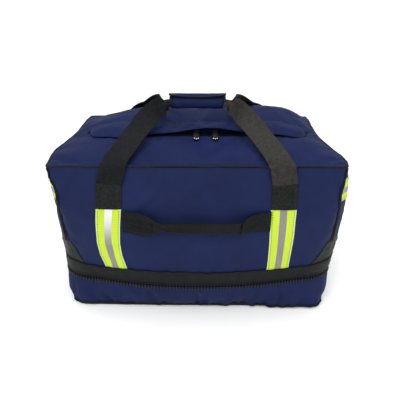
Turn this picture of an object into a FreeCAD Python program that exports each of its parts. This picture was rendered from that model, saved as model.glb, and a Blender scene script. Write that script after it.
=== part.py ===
"""Soft-sided emergency gear bag: main compartment, zipped base compartment and a pair of carry handles.

Millimetres. X runs along the bag's length, -Y is the front, +Z is up.
The origin is on the floor, under the middle of the bag.
"""

import FreeCAD, Part
import math
import os

# ---- driving dimensions -------------------------------------------------------------------------------------
HALF_LENGTH = 305.0  # top seam, from the middle to an end
HALF_DEPTH = 192.5  # top seam, from the middle to the front or back
SEAM_Z = 358.0  # top of the side walls
ZIP_Z = 384.0  # the top zip's line
ZIP_Y = -50.0
KNEE_Z = 118.0  # top of the wear band, where the full bulge starts
SPLIT_Z = 79.0  # the base zip's line
BASE_WALL_Z = 4.0  # underside of the base compartment's wall

KNEE_HALF_LENGTH = 313.0
KNEE_HALF_DEPTH = 190.0
KNEE_BOW_FRONT = 30.0  # how far the front and back stand out at the middle
KNEE_BOW_END = 8.0
KNEE_RADIUS = 80.0
FOOT_HALF_LENGTH = 300.0
FOOT_HALF_DEPTH = 191.0
FOOT_BOW = 3.0
FOOT_RADIUS = 30.0
SEAM_RADIUS = 4.0
SEAM_BOW = 0.5

WALL = 5.0  # padded side wall
BASE_WALL = 4.0
LINING = 0.8
GAP = 0.3  # between sewn layers, and between parts that move apart
ZIP_GAP = 0.15  # half the gap between the two rows of the base zip

WEBBING = 50.0
WEBBING_THICKNESS = 3.0
STRAP_X = 182.0  # middle of each carry-handle strap
PATCH_BOTTOM_Z = 266.0
TAPE_THICKNESS = 1.3
PIPING_RADIUS = 2.2

TOP_PANEL = 4.0
PANEL_HALF_LENGTH = 215.7  # the two opening top panels
FLAP_HALF_LENGTH = 252.0  # the storm flap covers the zip's ends
GUSSET_END = 301.0
PANEL_HINGE_Z = 365.0
PANEL_START_Y = 188.4
ZIP_TAPE_WIDTH = 11.0
TEETH_WIDTH = 2.8
FACING = 36.0  # the soft facing strip in front of the zip
ROOF = [(0, 398), (40, 410), (80, 415), (120, 408), (155, 391)]  # (y, z) down the middle, behind the zip

HANDLE_PIVOT_Y = 198.0
HANDLE_PIVOT_Z = 364.5
SHOULDER = (130.0, 414.0)  # (y, z) where the back handle bends over the filled top
GRIP_Z = 448.0
GRIP_RADIUS = 17.0
GRIP_HALF_LENGTH = 66.0
COVER_THICKNESS = 2.0

SLIDER_X = {"left": -2.0, "right": 41.0}
HAUL_Z = 232.0
HAUL_OUT = -230.0  # y of the haul handle's middle

FRONT, BACK = -1, 1


def vector(x, y, z):
    return FreeCAD.Vector(x, y, z)


def export(node, shape):
    shape.exportStep("parts/%s.step" % node)


# ---- plan outlines and the layers that follow them -------------------------------------------------------------
def outline(z, half_x, half_y, radius, bow_end, bow_front, grow=0.0):
    """A closed wire of eight arcs: bowed sides and rounded corners, grown outwards by grow."""
    hx, hy, r = half_x + grow, half_y + grow, max(radius + grow, 0.2)
    diagonal = r * math.sqrt(0.5)
    edges = []
    for sx, sy in ((1, -1), (1, 1), (-1, 1), (-1, -1)):
        centre = vector(sx * (hx - r), sy * (hy - r), z)
        on_side = vector(sx * hx, sy * (hy - r), z)
        on_front = vector(sx * (hx - r), sy * hy, z)
        middle = centre + vector(sx * diagonal, sy * diagonal, 0)
        turns_to_side = sx * sy < 0
        start, end = (on_front, on_side) if turns_to_side else (on_side, on_front)
        edges.append(Part.Arc(start, middle, end).toShape())
        if turns_to_side:
            far = vector(sx * hx, -sy * (hy - r), z)
            crown = vector(sx * (hx + bow_end), 0, z)
        else:
            far = vector(-sx * (hx - r), sy * hy, z)
            crown = vector(0, sy * (hy + bow_front), z)
        edges.append(Part.Arc(end, crown, far).toShape())
    return Part.Wire(edges)


def knee_outline(z, grow=0.0):
    return outline(z, KNEE_HALF_LENGTH, KNEE_HALF_DEPTH, KNEE_RADIUS, KNEE_BOW_END, KNEE_BOW_FRONT, grow)


def seam_outline(grow=0.0):
    return outline(SEAM_Z, HALF_LENGTH, HALF_DEPTH, SEAM_RADIUS, SEAM_BOW, SEAM_BOW, grow)


def foot_outline(z, grow=0.0):
    return outline(z, FOOT_HALF_LENGTH, FOOT_HALF_DEPTH, FOOT_RADIUS, FOOT_BOW, FOOT_BOW, grow)


def main_solid(grow):
    """The main compartment's outer form, grown by grow."""
    low = SPLIT_Z + ZIP_GAP
    return Part.makeLoft([knee_outline(low, grow), knee_outline(KNEE_Z, grow), seam_outline(grow)], True, True)


def base_solid(grow):
    """The base compartment's form, grown by grow."""
    high = SPLIT_Z - ZIP_GAP
    return Part.makeLoft([foot_outline(BASE_WALL_Z, grow), knee_outline(high, grow)], True, True)


def layer(solid, inner, outer):
    """A skin between two offsets of one form."""
    return solid(outer).cut(solid(inner))


def box(x0, x1, y0, y1, z0, z1):
    return Part.makeBox(x1 - x0, y1 - y0, z1 - z0, vector(x0, y0, z0))


def prism(points, push):
    """A flat polygon pushed along a vector."""
    return Part.Face(Part.makePolygon(points + points[:1])).extrude(push)


def section(x, points):
    """A closed polygon of (y, z) points in the plane of one x."""
    corners = [vector(x, y, z) for y, z in points]
    return Part.makePolygon(corners + corners[:1])


# ---- base compartment ----------------------------------------------------------------------------------------
def base_parts():
    panel = Part.Face(foot_outline(0, -1.0)).extrude(vector(0, 0, BASE_WALL_Z - GAP))
    export("base_panel", panel)
    wall = layer(base_solid, -BASE_WALL, 0)
    wall = wall.cut(box(-400, 400, -400, 400, SPLIT_Z - 1.3, SPLIT_Z + 1))
    export("base_wall", wall)
    board = Part.Face(foot_outline(BASE_WALL_Z, -BASE_WALL - 4)).extrude(vector(0, 0, 3.0))
    export("base_board", board)
    piping = layer(base_solid, GAP, 3.2).common(box(-400, 400, -400, 400, BASE_WALL_Z, 9))
    export("base_piping", piping)


ZIP_END_Y = 150.0  # the base zip stops here, short of the rear fabric hinge


def base_zip_parts():
    skin = layer(base_solid, GAP, TAPE_THICKNESS)
    export("base_zip_tape_lower", skin.common(box(-400, 400, -400, ZIP_END_Y, 66, 76.5)))
    teeth = layer(base_solid, GAP, 2.6)
    export("base_zip_teeth_lower", teeth.common(box(-400, 400, -400, ZIP_END_Y, 76.8, SPLIT_Z - ZIP_GAP)))
    skin = layer(main_solid, GAP, TAPE_THICKNESS)
    export("base_zip_tape_upper", skin.common(box(-400, 400, -400, ZIP_END_Y, 81.5, 87.7)))
    teeth = layer(main_solid, GAP, 2.6)
    export("base_zip_teeth_upper", teeth.common(box(-400, 400, -400, ZIP_END_Y, SPLIT_Z + ZIP_GAP, 81.2)))
    hinge = layer(base_solid, GAP, TAPE_THICKNESS)
    export("rear_hinge_strip", hinge.common(box(-400, 400, ZIP_END_Y + 2, 400, 52, SPLIT_Z - 1.5)))


# ---- main compartment ----------------------------------------------------------------------------------------
def corner_wedge(side):
    """The quarter of the plan that belongs to one wall, cut along the corner seams."""
    reach = 900.0
    slope = (KNEE_HALF_DEPTH - KNEE_RADIUS * 0.293) / (KNEE_HALF_LENGTH - KNEE_RADIUS * 0.293)
    near, far = reach, reach * slope
    corners = {
        "front": [(-near, -far), (near, -far)],
        "back": [(near, far), (-near, far)],
        "left": [(-near, far), (-near, -far)],
        "right": [(near, -far), (near, far)],
    }[side]
    points = [vector(0, 0, 0)] + [vector(x, y, 0) for x, y in corners]
    return prism(points, vector(0, 0, 500))


def wall_parts():
    walls = layer(main_solid, -WALL, 0).cut(box(-400, 400, -400, 400, 0, SPLIT_Z + 1.3))
    for side, node in (
        ("front", "front_panel"),
        ("back", "back_panel"),
        ("left", "left_end_panel"),
        ("right", "right_end_panel"),
    ):
        export(node, walls.common(corner_wedge(side)))
    floor = Part.Face(knee_outline(81.0, -WALL - GAP)).extrude(vector(0, 0, 4.5))
    export("divider_floor", floor)
    lining = layer(main_solid, -WALL - GAP - LINING, -WALL - GAP)
    export("lining", lining.common(box(-400, 400, -400, 400, 86, SEAM_Z - 4)))


def trim_parts():
    band = layer(main_solid, GAP, 2.6)
    export("wear_band", band.common(box(-400, 400, -400, 400, 88, KNEE_Z)))
    skin = layer(main_solid, GAP, TAPE_THICKNESS)
    low = KNEE_Z + GAP
    for face, fname in ((FRONT, "front"), (BACK, "back")):
        for side, sname in ((-1, "left"), (1, "right")):
            triangle = [vector(side * x, face * 100, z) for x, z in ((330, low), (240, low), (330, 222))]
            patch = skin.common(prism(triangle, vector(0, face * 160, 0)))
            export("%s_%s_corner_patch" % (fname, sname), patch)
    for side, sname in ((-1, "left"), (1, "right")):
        x0, x1 = sorted((side * 200, side * 400))
        export("%s_end_tape" % sname, skin.common(box(x0, x1, -150, 150, 280, 330)))


def strap_parts():
    """The sewn-down straps and the reflective tape below each of them."""
    webbing = layer(main_solid, GAP, GAP + WEBBING_THICKNESS)
    tape = layer(main_solid, GAP, TAPE_THICKNESS)
    for face, fname in ((FRONT, "front"), (BACK, "back")):
        for side, sname in ((-1, "left"), (1, "right")):
            x0, x1 = side * STRAP_X - WEBBING / 2, side * STRAP_X + WEBBING / 2
            y0, y1 = sorted((face * 100, face * 400))
            anchor = webbing.common(box(x0, x1, y0, y1, PATCH_BOTTOM_Z, SEAM_Z - 1))
            export("%s_%s_anchor" % (fname, sname), anchor)
            strip = tape.common(box(x0, x1, y0, y1, KNEE_Z + GAP, PATCH_BOTTOM_Z - GAP))
            export("%s_%s_reflective_tape" % (fname, sname), strip)


def rod(a, b, radius):
    span = b - a
    return Part.makeCylinder(radius, span.Length, a, span)


def piping_parts():
    """Piping round the top seam, mitred at its corners, and down the upper corner seams."""
    z = SEAM_Z + 2.5
    x, y, margin = HALF_LENGTH - 1.5, HALF_DEPTH - 1.5, 8.0
    runs = []
    for turn in (0, 180):
        for half, other, angle in ((x, y, turn), (y, x, turn + 90)):
            run = rod(vector(-half - margin, -other, z), vector(half + margin, -other, z), PIPING_RADIUS)
            wide, narrow = half + margin, half - margin
            mitre = [(-wide, -margin), (wide, -margin), (narrow, margin), (-narrow, margin)]
            trim = prism([vector(u, v - other, z - margin) for u, v in mitre], vector(0, 0, 2 * margin))
            run = run.common(trim)
            run.rotate(vector(0, 0, 0), vector(0, 0, 1), angle)
            runs.append(run)
    export("top_seam_piping", Part.makeCompound(runs))
    corner_in = KNEE_RADIUS * (1 - math.sqrt(0.5))
    foot = vector(KNEE_HALF_LENGTH - corner_in, KNEE_HALF_DEPTH - corner_in, 0)
    out = PIPING_RADIUS * 0.71 + 0.6
    cords = []
    for sx in (-1, 1):
        for sy in (-1, 1):
            low = vector(sx * (foot.x + out), sy * (foot.y + out), 225)
            high = vector(sx * (HALF_LENGTH + out - 1), sy * (HALF_DEPTH + out - 1), SEAM_Z - 4)
            share = (low.z - KNEE_Z) / (SEAM_Z - KNEE_Z)
            low.x += sx * share * (HALF_LENGTH - foot.x)
            low.y += sy * share * (HALF_DEPTH - foot.y)
            cords.append(rod(low, high, 1.6))
    export("corner_piping", Part.makeCompound(cords))


# ---- top -----------------------------------------------------------------------------------------------------
TAPE_EDGE = ZIP_TAPE_WIDTH + TEETH_WIDTH + 0.2  # from the zip's line to where the panels are sewn to it
FRONT_LINE = [(-PANEL_START_Y, PANEL_HINGE_Z), (ZIP_Y - TAPE_EDGE, ZIP_Z)]
REAR_LINE = [(ZIP_Y + TAPE_EDGE, ZIP_Z)] + ROOF + [(PANEL_START_Y, PANEL_HINGE_Z)]


def thickened(line, thickness):
    """A closed ring of (y, z) points: a line that runs towards the back, and the same line set inwards."""
    inner = []
    for index, (y, z) in enumerate(line):
        before, after = line[max(index - 1, 0)], line[min(index + 1, len(line) - 1)]
        run, rise = after[0] - before[0], after[1] - before[1]
        length = math.hypot(run, rise)
        inner.append((y + rise / length * thickness, z - run / length * thickness))
    return line + inner[::-1]


def along_x(ring, half_length):
    points = [vector(-half_length, y, z) for y, z in ring]
    return prism(points, vector(2 * half_length, 0, 0))


def top_panel_parts():
    """Two opening panels. In front of the zip a soft facing strip takes the panel's last stretch."""
    (y0, z0), (y1, z1) = FRONT_LINE
    share = (y1 - FACING - y0) / (y1 - y0)
    facing_start = (y1 - FACING, z0 + share * (z1 - z0))
    panel_end = (facing_start[0] - GAP, facing_start[1] - GAP * (z1 - z0) / (y1 - y0))
    export("top_front_panel", along_x(thickened([FRONT_LINE[0], panel_end], TOP_PANEL), PANEL_HALF_LENGTH))
    export("top_rear_panel", along_x(thickened(REAR_LINE, TOP_PANEL), PANEL_HALF_LENGTH))
    half = PANEL_HALF_LENGTH
    for face, name in ((FRONT, "front"), (BACK, "rear")):
        stretch = sorted((ZIP_Y + face * TAPE_EDGE, ZIP_Y + face * (TEETH_WIDTH + 0.2)))
        tape = box(-half, half, stretch[0], stretch[1], ZIP_Z - 1.5, ZIP_Z - 0.4)
        if face == FRONT:
            facing = along_x(thickened([facing_start, FRONT_LINE[1]], TOP_PANEL), half)
            export("zip_facing_front", facing.fuse(tape).removeSplitter())
        else:
            export("zip_tape_rear", tape)
        stretch = sorted((ZIP_Y + face * (TEETH_WIDTH + 0.2), ZIP_Y + face * 0.2))
        export("zip_teeth_%s" % name, box(-half, half, stretch[0], stretch[1], ZIP_Z - 1.8, ZIP_Z + 0.4))


def gusset_parts():
    """The fixed ends of the top, which fall in a curve from the opening panels to the end seams."""
    edge_z = SEAM_Z + 6
    stations = [(PANEL_HALF_LENGTH + 0.6, 1.0), (262.0, 0.72), (GUSSET_END, 0.0)]
    for side, name in ((-1, "left"), (1, "right")):
        rings = []
        for x, share in stations:
            line = [(y, edge_z + share * (z - edge_z)) for y, z in FRONT_LINE + REAR_LINE]
            rings.append(section(side * x, thickened(line, TOP_PANEL)))
        export("%s_top_gusset" % name, Part.makeLoft(rings, True, True))


def storm_flap_part():
    """The cover strip sewn behind the zip; its free edge stands over the rear row of teeth."""
    sewn, free, lift = (-8.0, 395.6), (ZIP_Y + 4.0, 396.0), 1.5
    ring = [free, (free[0], free[1] + lift), (sewn[0], sewn[1] + lift), sewn]
    export("storm_flap", along_x(ring, FLAP_HALF_LENGTH))


# ---- handles -------------------------------------------------------------------------------------------------
def handle_parts():
    """Flat straps from their folds at the seam to the grip, cut from a bent band to a tapering plan."""
    half = WEBBING / 2
    pivot, end = (-HANDLE_PIVOT_Y, HANDLE_PIVOT_Z), (-9.0, GRIP_Z)
    shoulder = (-SHOULDER[0], SHOULDER[1])
    plan = [
        (STRAP_X - half, -HANDLE_PIVOT_Y),
        (STRAP_X + half, -HANDLE_PIVOT_Y),
        (GRIP_HALF_LENGTH + GAP, -1.7),
        (GRIP_HALF_LENGTH + GAP, -26.0),
    ]
    for face, fname in ((FRONT, "front"), (BACK, "back")):
        line = [pivot, end] if face == FRONT else [pivot, shoulder, end]
        band = along_x(thickened(line, WEBBING_THICKNESS), 2 * STRAP_X)
        band.translate(vector(0, 0, WEBBING_THICKNESS / 2))
        for side, sname in ((-1, "left"), (1, "right")):
            outline_points = [vector(side * x, y, 300) for x, y in plan]
            strap = band.common(prism(outline_points, vector(0, 0, 200)))
            if face == BACK:
                strap = strap.mirror(vector(0, 0, 0), vector(0, 1, 0))
            export("%s_%s_strap" % (fname, sname), strap)
        tube = rod(vector(-GRIP_HALF_LENGTH, 0, GRIP_Z), vector(GRIP_HALF_LENGTH, 0, GRIP_Z), GRIP_RADIUS)
        y0, y1 = sorted((face * GAP, face * 30))
        export("%s_grip" % fname, tube.common(box(-100, 100, y0, y1, GRIP_Z - 30, GRIP_Z + 30)))


def grip_cover_parts():
    """A wrap round the rear half of the grip, with a flat flap over both halves."""
    inner, outer = GRIP_RADIUS + 0.6, GRIP_RADIUS + 0.6 + COVER_THICKNESS
    lower = math.radians(-35)

    def on(radius, angle):
        return vector(-GRIP_HALF_LENGTH, radius * math.cos(angle), GRIP_Z + radius * math.sin(angle))

    middle = (lower + math.pi / 2) / 2
    front_y = -GRIP_RADIUS + 1
    front_in = vector(-GRIP_HALF_LENGTH, front_y, GRIP_Z + inner)
    front_out = vector(-GRIP_HALF_LENGTH, front_y, GRIP_Z + outer)
    edges = [
        Part.Arc(on(inner, lower), on(inner, middle), on(inner, math.pi / 2)).toShape(),
        Part.makeLine(on(inner, math.pi / 2), front_in),
        Part.makeLine(front_in, front_out),
        Part.makeLine(front_out, on(outer, math.pi / 2)),
        Part.Arc(on(outer, math.pi / 2), on(outer, middle), on(outer, lower)).toShape(),
        Part.makeLine(on(outer, lower), on(inner, lower)),
    ]
    cover = Part.Face(Part.Wire(edges)).extrude(vector(2 * GRIP_HALF_LENGTH, 0, 0))
    export("grip_cover", cover)
    low, high = GRIP_Z + inner, GRIP_Z + outer + 0.5
    binding = box(-GRIP_HALF_LENGTH, GRIP_HALF_LENGTH, front_y - 1.8, front_y - 0.1, low, high)
    export("grip_cover_binding", binding)


def rectangle(x, y0, y1, half_height):
    low, high = HAUL_Z - half_height, HAUL_Z + half_height
    return section(x, [(y0, low), (y1, low), (y1, high), (y0, high)])


def haul_handle_parts():
    """The front haul handle: wide sewn ends that gather to a doubled middle."""
    for side, name in ((-1, "left"), (1, "right")):
        sewn = rectangle(side * (STRAP_X - WEBBING / 2 - 0.6), -206.5, -204.0, 25.0)
        gathered = rectangle(side * 113, -227, -221, 14.0)
        export("haul_anchor_%s" % name, Part.makeLoft([sewn, gathered], True, True))
    stations = [(-112, -224, 3.0), (-70, HAUL_OUT, 3.5), (70, HAUL_OUT, 3.5), (112, -224, 3.0)]
    sections = [rectangle(x, y - half, y + half, 13.0) for x, y, half in stations]
    export("haul_handle", Part.makeLoft(sections, True, True))


# ---- zip sliders ---------------------------------------------------------------------------------------------
PIN_HEIGHT = 6.0
PULL_TILT = 13.0  # the top pulls lie down the front panel


def slider_shape():
    """A slider at the origin: the zip runs along X and the outside is +Z."""
    plate = box(-8, 8, -6, 6, 0, 3)
    cheeks = [box(sign * 5.4 - 1, sign * 5.4 + 1, -2.5, 2.5, 3, PIN_HEIGHT + 2.4) for sign in (-1, 1)]
    pin = Part.makeCylinder(1.2, 10, vector(-5, 0, PIN_HEIGHT), vector(1, 0, 0))
    return plate.fuse(cheeks[0]).fuse(cheeks[1]).fuse(pin).removeSplitter()


def pull_shape(tilt):
    """The pull of that slider: an eye on its pin and a tab along -Y, turned down by tilt degrees."""
    eye = Part.makeCylinder(2.6, 8, vector(-4, 0, PIN_HEIGHT), vector(1, 0, 0))
    tab = box(-3.6, 3.6, -30, 0, PIN_HEIGHT - 1, PIN_HEIGHT + 1)
    bore = Part.makeCylinder(1.5, 10, vector(-5, 0, PIN_HEIGHT), vector(1, 0, 0))
    pull = eye.fuse(tab).cut(bore).removeSplitter()
    pull.rotate(vector(0, 0, PIN_HEIGHT), vector(1, 0, 0), tilt)
    return pull


def slider_parts():
    for name, x in SLIDER_X.items():
        place = vector(x, ZIP_Y, ZIP_Z + 0.8)
        slider, pull = slider_shape(), pull_shape(PULL_TILT)
        slider.translate(place)
        pull.translate(place)
        export("top_slider_%s" % name, slider)
        export("top_pull_%s" % name, pull)
    stand = KNEE_HALF_LENGTH + KNEE_BOW_END + 3.2
    for name, y in (("front", -12.0), ("rear", 12.0)):
        turn = FreeCAD.Rotation(vector(0, 1, 0), vector(0, 0, 1), vector(1, 0, 0), "XZY")
        upright = FreeCAD.Placement(vector(stand, y, SPLIT_Z), turn)
        for node, shape in (("base_slider_" + name, slider_shape()), ("base_pull_" + name, pull_shape(0))):
            shape.Placement = upright.multiply(shape.Placement)
            export(node, shape)


os.makedirs("parts", exist_ok=True)
base_parts()
base_zip_parts()
wall_parts()
trim_parts()
strap_parts()
piping_parts()
top_panel_parts()
gusset_parts()
storm_flap_part()
handle_parts()
grip_cover_parts()
haul_handle_parts()
slider_parts()
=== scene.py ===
"""Looks of a soft-sided gear bag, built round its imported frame. Metres: X along the bag, -Y front, +Z up."""
import math

import bpy
import numpy as np
from mathutils import Matrix, Vector, noise


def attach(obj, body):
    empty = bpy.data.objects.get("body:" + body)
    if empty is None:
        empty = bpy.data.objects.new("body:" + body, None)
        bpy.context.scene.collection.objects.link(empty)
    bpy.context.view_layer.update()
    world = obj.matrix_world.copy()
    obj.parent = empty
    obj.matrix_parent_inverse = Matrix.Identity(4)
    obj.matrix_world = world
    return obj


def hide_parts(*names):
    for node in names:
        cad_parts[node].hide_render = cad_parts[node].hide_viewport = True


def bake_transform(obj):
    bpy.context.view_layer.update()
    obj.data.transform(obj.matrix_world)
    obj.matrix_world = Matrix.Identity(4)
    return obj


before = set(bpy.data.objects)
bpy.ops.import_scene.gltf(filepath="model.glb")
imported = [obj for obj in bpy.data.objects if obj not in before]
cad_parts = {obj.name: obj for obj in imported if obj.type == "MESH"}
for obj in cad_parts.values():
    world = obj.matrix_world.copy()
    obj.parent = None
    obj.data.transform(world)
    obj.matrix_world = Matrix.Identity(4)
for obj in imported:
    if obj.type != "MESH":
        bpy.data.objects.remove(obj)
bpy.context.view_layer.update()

# ---- driving dimensions ----
# Plan outlines: half length, half depth, corner radius, bow of the ends, bow of the front and back.
SEAM_PLAN = (0.305, 0.1925, 0.004, 0.0005, 0.0005)
KNEE_PLAN = (0.313, 0.19, 0.08, 0.008, 0.03)
FOOT_PLAN = (0.3, 0.191, 0.03, 0.003, 0.003)
SEAM_Z, KNEE_Z, SPLIT_Z, FOOT_Z = 0.358, 0.118, 0.079, 0.004
WEBBING = 0.05
STRAP_X = 0.182
PATCH_BOTTOM_Z, PATCH_TOP_Z = 0.2695, 0.327
MOUTH = 0.2157  # half the top zip's length
ZIP_Y, ZIP_Z = -0.05, 0.384
TAPE_EDGE = 0.014
GRIP_Z, GRIP_RADIUS, GRIP_HALF_LENGTH = 0.448, 0.017, 0.066
FLAP_HALF_LENGTH = 0.252
FLAP_SEWN_Y = -0.001
# Thicknesses, and how far sewn-on cloth stands off the skin under it.
WALL_CLOTH, LIGHT_CLOTH, STRAP_CLOTH, PATCH_CLOTH, TAPE_CLOTH = 0.0045, 0.0036, 0.0028, 0.0012, 0.0011
SEWN_ON = 0.0013
FINE = 400  # samples when a curve is looked up
SEED_STEP = 7.31  # how far apart the seeds read the noise
SHARP_ANGLE = math.radians(50)

FRONT, BACK = -1, 1
LEFT, RIGHT = -1, 1
SIDE_NAME = {LEFT: "left", RIGHT: "right"}
FACE_NAME = {FRONT: "front", BACK: "back"}
PLACES = {
    (face, side): FACE_NAME[face] + "_" + SIDE_NAME[side]
    for face in (FRONT, BACK)
    for side in (LEFT, RIGHT)
}
# Corner seams on a loop round the bag, by u (see plan), and the seam at which each panel starts.
CORNER_U = {(FRONT, RIGHT): 0.5, (BACK, RIGHT): 2.5, (BACK, LEFT): 4.5, (FRONT, LEFT): 6.5}
FACE_START, END_START = {FRONT: 6.5, BACK: 2.5}, {RIGHT: 0.5, LEFT: 4.5}


# ---- small helpers ----
def smooth(t):
    """Eases from 0 to 1 as t goes from 0 to 1."""
    t = np.clip(t, 0.0, 1.0)
    return t * t * (3 - 2 * t)


def bump(x, centre, width):
    """A soft bell of height 1."""
    return np.exp(-(((x - centre) / width) ** 2))


def unit(vectors):
    """The vectors at length 1."""
    return vectors / np.maximum(np.linalg.norm(vectors, axis=-1, keepdims=True), 1e-12)


def fold_noise(points, scale, seed):
    """Smooth noise for each point of a grid, about -1 to 1."""
    flat = points.reshape(-1, 3) / scale + seed * SEED_STEP
    values = [noise.fractal(Vector(p), 1.0, 2.0, 2) for p in flat]
    return np.array(values).reshape(points.shape[:-1])


def ridged(points, scale, seed):
    """Noise made of narrow creases: 1 on a crease, 0 away from it."""
    return np.clip(1 - 3.2 * np.abs(fold_noise(points, scale, seed)), 0, 1) ** 1.5


def distances(path):
    """How far along a path each of its points is."""
    return np.concatenate([[0], np.cumsum(np.linalg.norm(np.diff(path, axis=0), axis=1))])


def read_along(values, run, at):
    """Values of a path's points at given distances along it."""
    return np.stack([np.interp(at, run, values[:, k]) for k in range(3)], axis=-1)


def resampled(path, step):
    """Points evenly spaced along a path, about one step apart."""
    run = distances(path)
    count = max(int(round(run[-1] / step)), 1) + 1
    return read_along(path, run, np.linspace(0, run[-1], count))


def spline(knots, values, at):
    """A smooth curve through points, whose slopes come from each point's neighbours."""
    slopes = np.gradient(values, knots)
    k = np.clip(np.searchsorted(knots, at) - 1, 0, len(knots) - 2)
    width = knots[k + 1] - knots[k]
    t = (at - knots[k]) / width
    t2, t3 = t * t, t * t * t
    return (
        (2 * t3 - 3 * t2 + 1) * values[k] + (t3 - 2 * t2 + t) * width * slopes[k]
        + (-2 * t3 + 3 * t2) * values[k + 1] + (t3 - t2) * width * slopes[k + 1]
    )


def smooth_path(points, count):
    """Evenly spaced points on a smooth curve through a few points."""
    points = np.asarray(points, float)
    run = distances(points)
    fine = np.linspace(0, run[-1], FINE)
    dense = np.stack([spline(run, points[:, k], fine) for k in range(3)], axis=1)
    return resampled(dense, run[-1] / (count - 1))[:count]


def steps_along(points, closed):
    """The way from the point before to the point after, along the first axis."""
    return np.roll(points, -1, 0) - np.roll(points, 1, 0) if closed else np.gradient(points, axis=0)


def grid_normals(grid, closed=False):
    """Unit normals of a grid of points; a closed grid joins its last column to its first."""
    return unit(np.cross(steps_along(grid, closed), np.gradient(grid, axis=1)))


# ---- meshes ----
def new_object(name, vertices, faces, uvs=None):
    """A smooth-shaded mesh in the scene; uvs has one place in the cloth for each vertex."""
    mesh = bpy.data.meshes.new(name)
    mesh.from_pydata([tuple(v) for v in vertices], [], faces)
    if uvs is not None:
        layer = mesh.uv_layers.new(name="cloth")
        corner = np.zeros(len(mesh.loops), int)
        mesh.loops.foreach_get("vertex_index", corner)
        layer.data.foreach_set("uv", np.asarray(uvs)[corner].ravel())
    mesh.polygons.foreach_set("use_smooth", [True] * len(mesh.polygons))
    mesh.set_sharp_from_angle(angle=SHARP_ANGLE)
    mesh.update()
    obj = bpy.data.objects.new(name, mesh)
    bpy.context.scene.collection.objects.link(obj)
    return obj


def grid_faces(nu, nv, closed):
    """Faces of a grid of nu columns of nv points."""
    faces = []
    for i in range(nu if closed else nu - 1):
        a, b = i * nv, (i + 1) % nu * nv
        faces += [(a + j, b + j, b + j + 1, a + j + 1) for j in range(nv - 1)]
    return faces


def ring_faces(count, ring, closed=False):
    """Faces through a row of closed rings of points, with an end face at each open end."""
    faces = []
    for i in range(count if closed else count - 1):
        a, b = i * ring, (i + 1) % count * ring
        faces += [(a + k, a + (k + 1) % ring, b + (k + 1) % ring, b + k) for k in range(ring)]
    if not closed:
        faces.append(tuple(range(ring))[::-1])
        faces.append(tuple(range((count - 1) * ring, count * ring)))
    return faces


def repeated(faces, count, size):
    """The faces of many equal pieces, each with its own run of vertices."""
    return [tuple(size * k + i for i in face) for k in range(count) for face in faces]


def cloth(name, grid, thickness, closed=False, normals=None):
    """A closed sheet with its outer face on the grid."""
    nu, nv = grid.shape[:2]
    if normals is None:
        normals = grid_normals(grid, closed)
    inner = grid - normals * thickness
    count = nu * nv
    outer_faces = grid_faces(nu, nv, closed)
    faces = outer_faces + [tuple(count + i for i in face[::-1]) for face in outer_faces]
    for i in range(nu if closed else nu - 1):
        a, b = i * nv, (i + 1) % nu * nv
        top = nv - 1
        faces.append((b, a, count + a, count + b))
        faces.append((a + top, b + top, count + b + top, count + a + top))
    if not closed:
        last = (nu - 1) * nv
        for j in range(nv - 1):
            faces.append((j, j + 1, count + j + 1, count + j))
            faces.append((last + j + 1, last + j, count + last + j, count + last + j + 1))
    u, v = distances(grid[:, nv // 2]), distances(grid[nu // 2])
    uv = np.stack(np.meshgrid(u, v, indexing="ij"), axis=-1).reshape(-1, 2)
    vertices = np.concatenate([grid.reshape(-1, 3), inner.reshape(-1, 3)])
    return new_object(name, vertices, faces, np.concatenate([uv, uv]))


def tube(name, path, radius, sides, closed=False, flat=1.0):
    """A round cord along a path of points; flat stretches its section to one side."""
    path = np.asarray(path, float)
    tangents = unit(steps_along(path, closed))
    normal = np.cross(tangents[0], (0.0, 0.0, 1.0))
    if np.linalg.norm(normal) < 1e-3:
        normal = np.cross(tangents[0], (1.0, 0.0, 0.0))
    angle = (2 * math.pi * np.arange(sides) / sides)[:, None]
    rings = []
    for tangent, point in zip(tangents, path):
        normal = unit(normal - tangent * np.dot(normal, tangent))
        side = np.cross(tangent, normal)
        rings.append(point + radius * (np.cos(angle) * normal + flat * np.sin(angle) * side))
    return new_object(name, np.concatenate(rings), ring_faces(len(path), sides, closed))


def joined(name, objects):
    """One object made of several, all in place."""
    vertices, faces = [], []
    for obj in objects:
        mesh = obj.data
        faces += [tuple(len(vertices) + v for v in p.vertices) for p in mesh.polygons]
        vertices += [v.co.copy() for v in mesh.vertices]
        bpy.data.objects.remove(obj)
    return new_object(name, vertices, faces)


def finish_piece(obj, look, body=None, replaces=()):
    """Gives a piece its look, the CAD nodes it stands for and the body it rides on."""
    obj.data.materials.clear()
    obj.data.materials.append(look)
    if replaces:
        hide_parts(*replaces)
    if body:
        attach(obj, body)
    return obj


def child_of(obj, parent):
    obj.parent = parent
    obj.matrix_parent_inverse = parent.matrix_world.inverted()


CLOTH_FRAMES = 20
CLOTH_SETTINGS = {
    "quality": 6, "mass": 0.3, "tension_stiffness": 12, "compression_stiffness": 12, "shear_stiffness": 5,
    "bending_stiffness": 2.5, "air_damping": 2, "vertex_group_mass": "held", "use_pressure": True,
}


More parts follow.
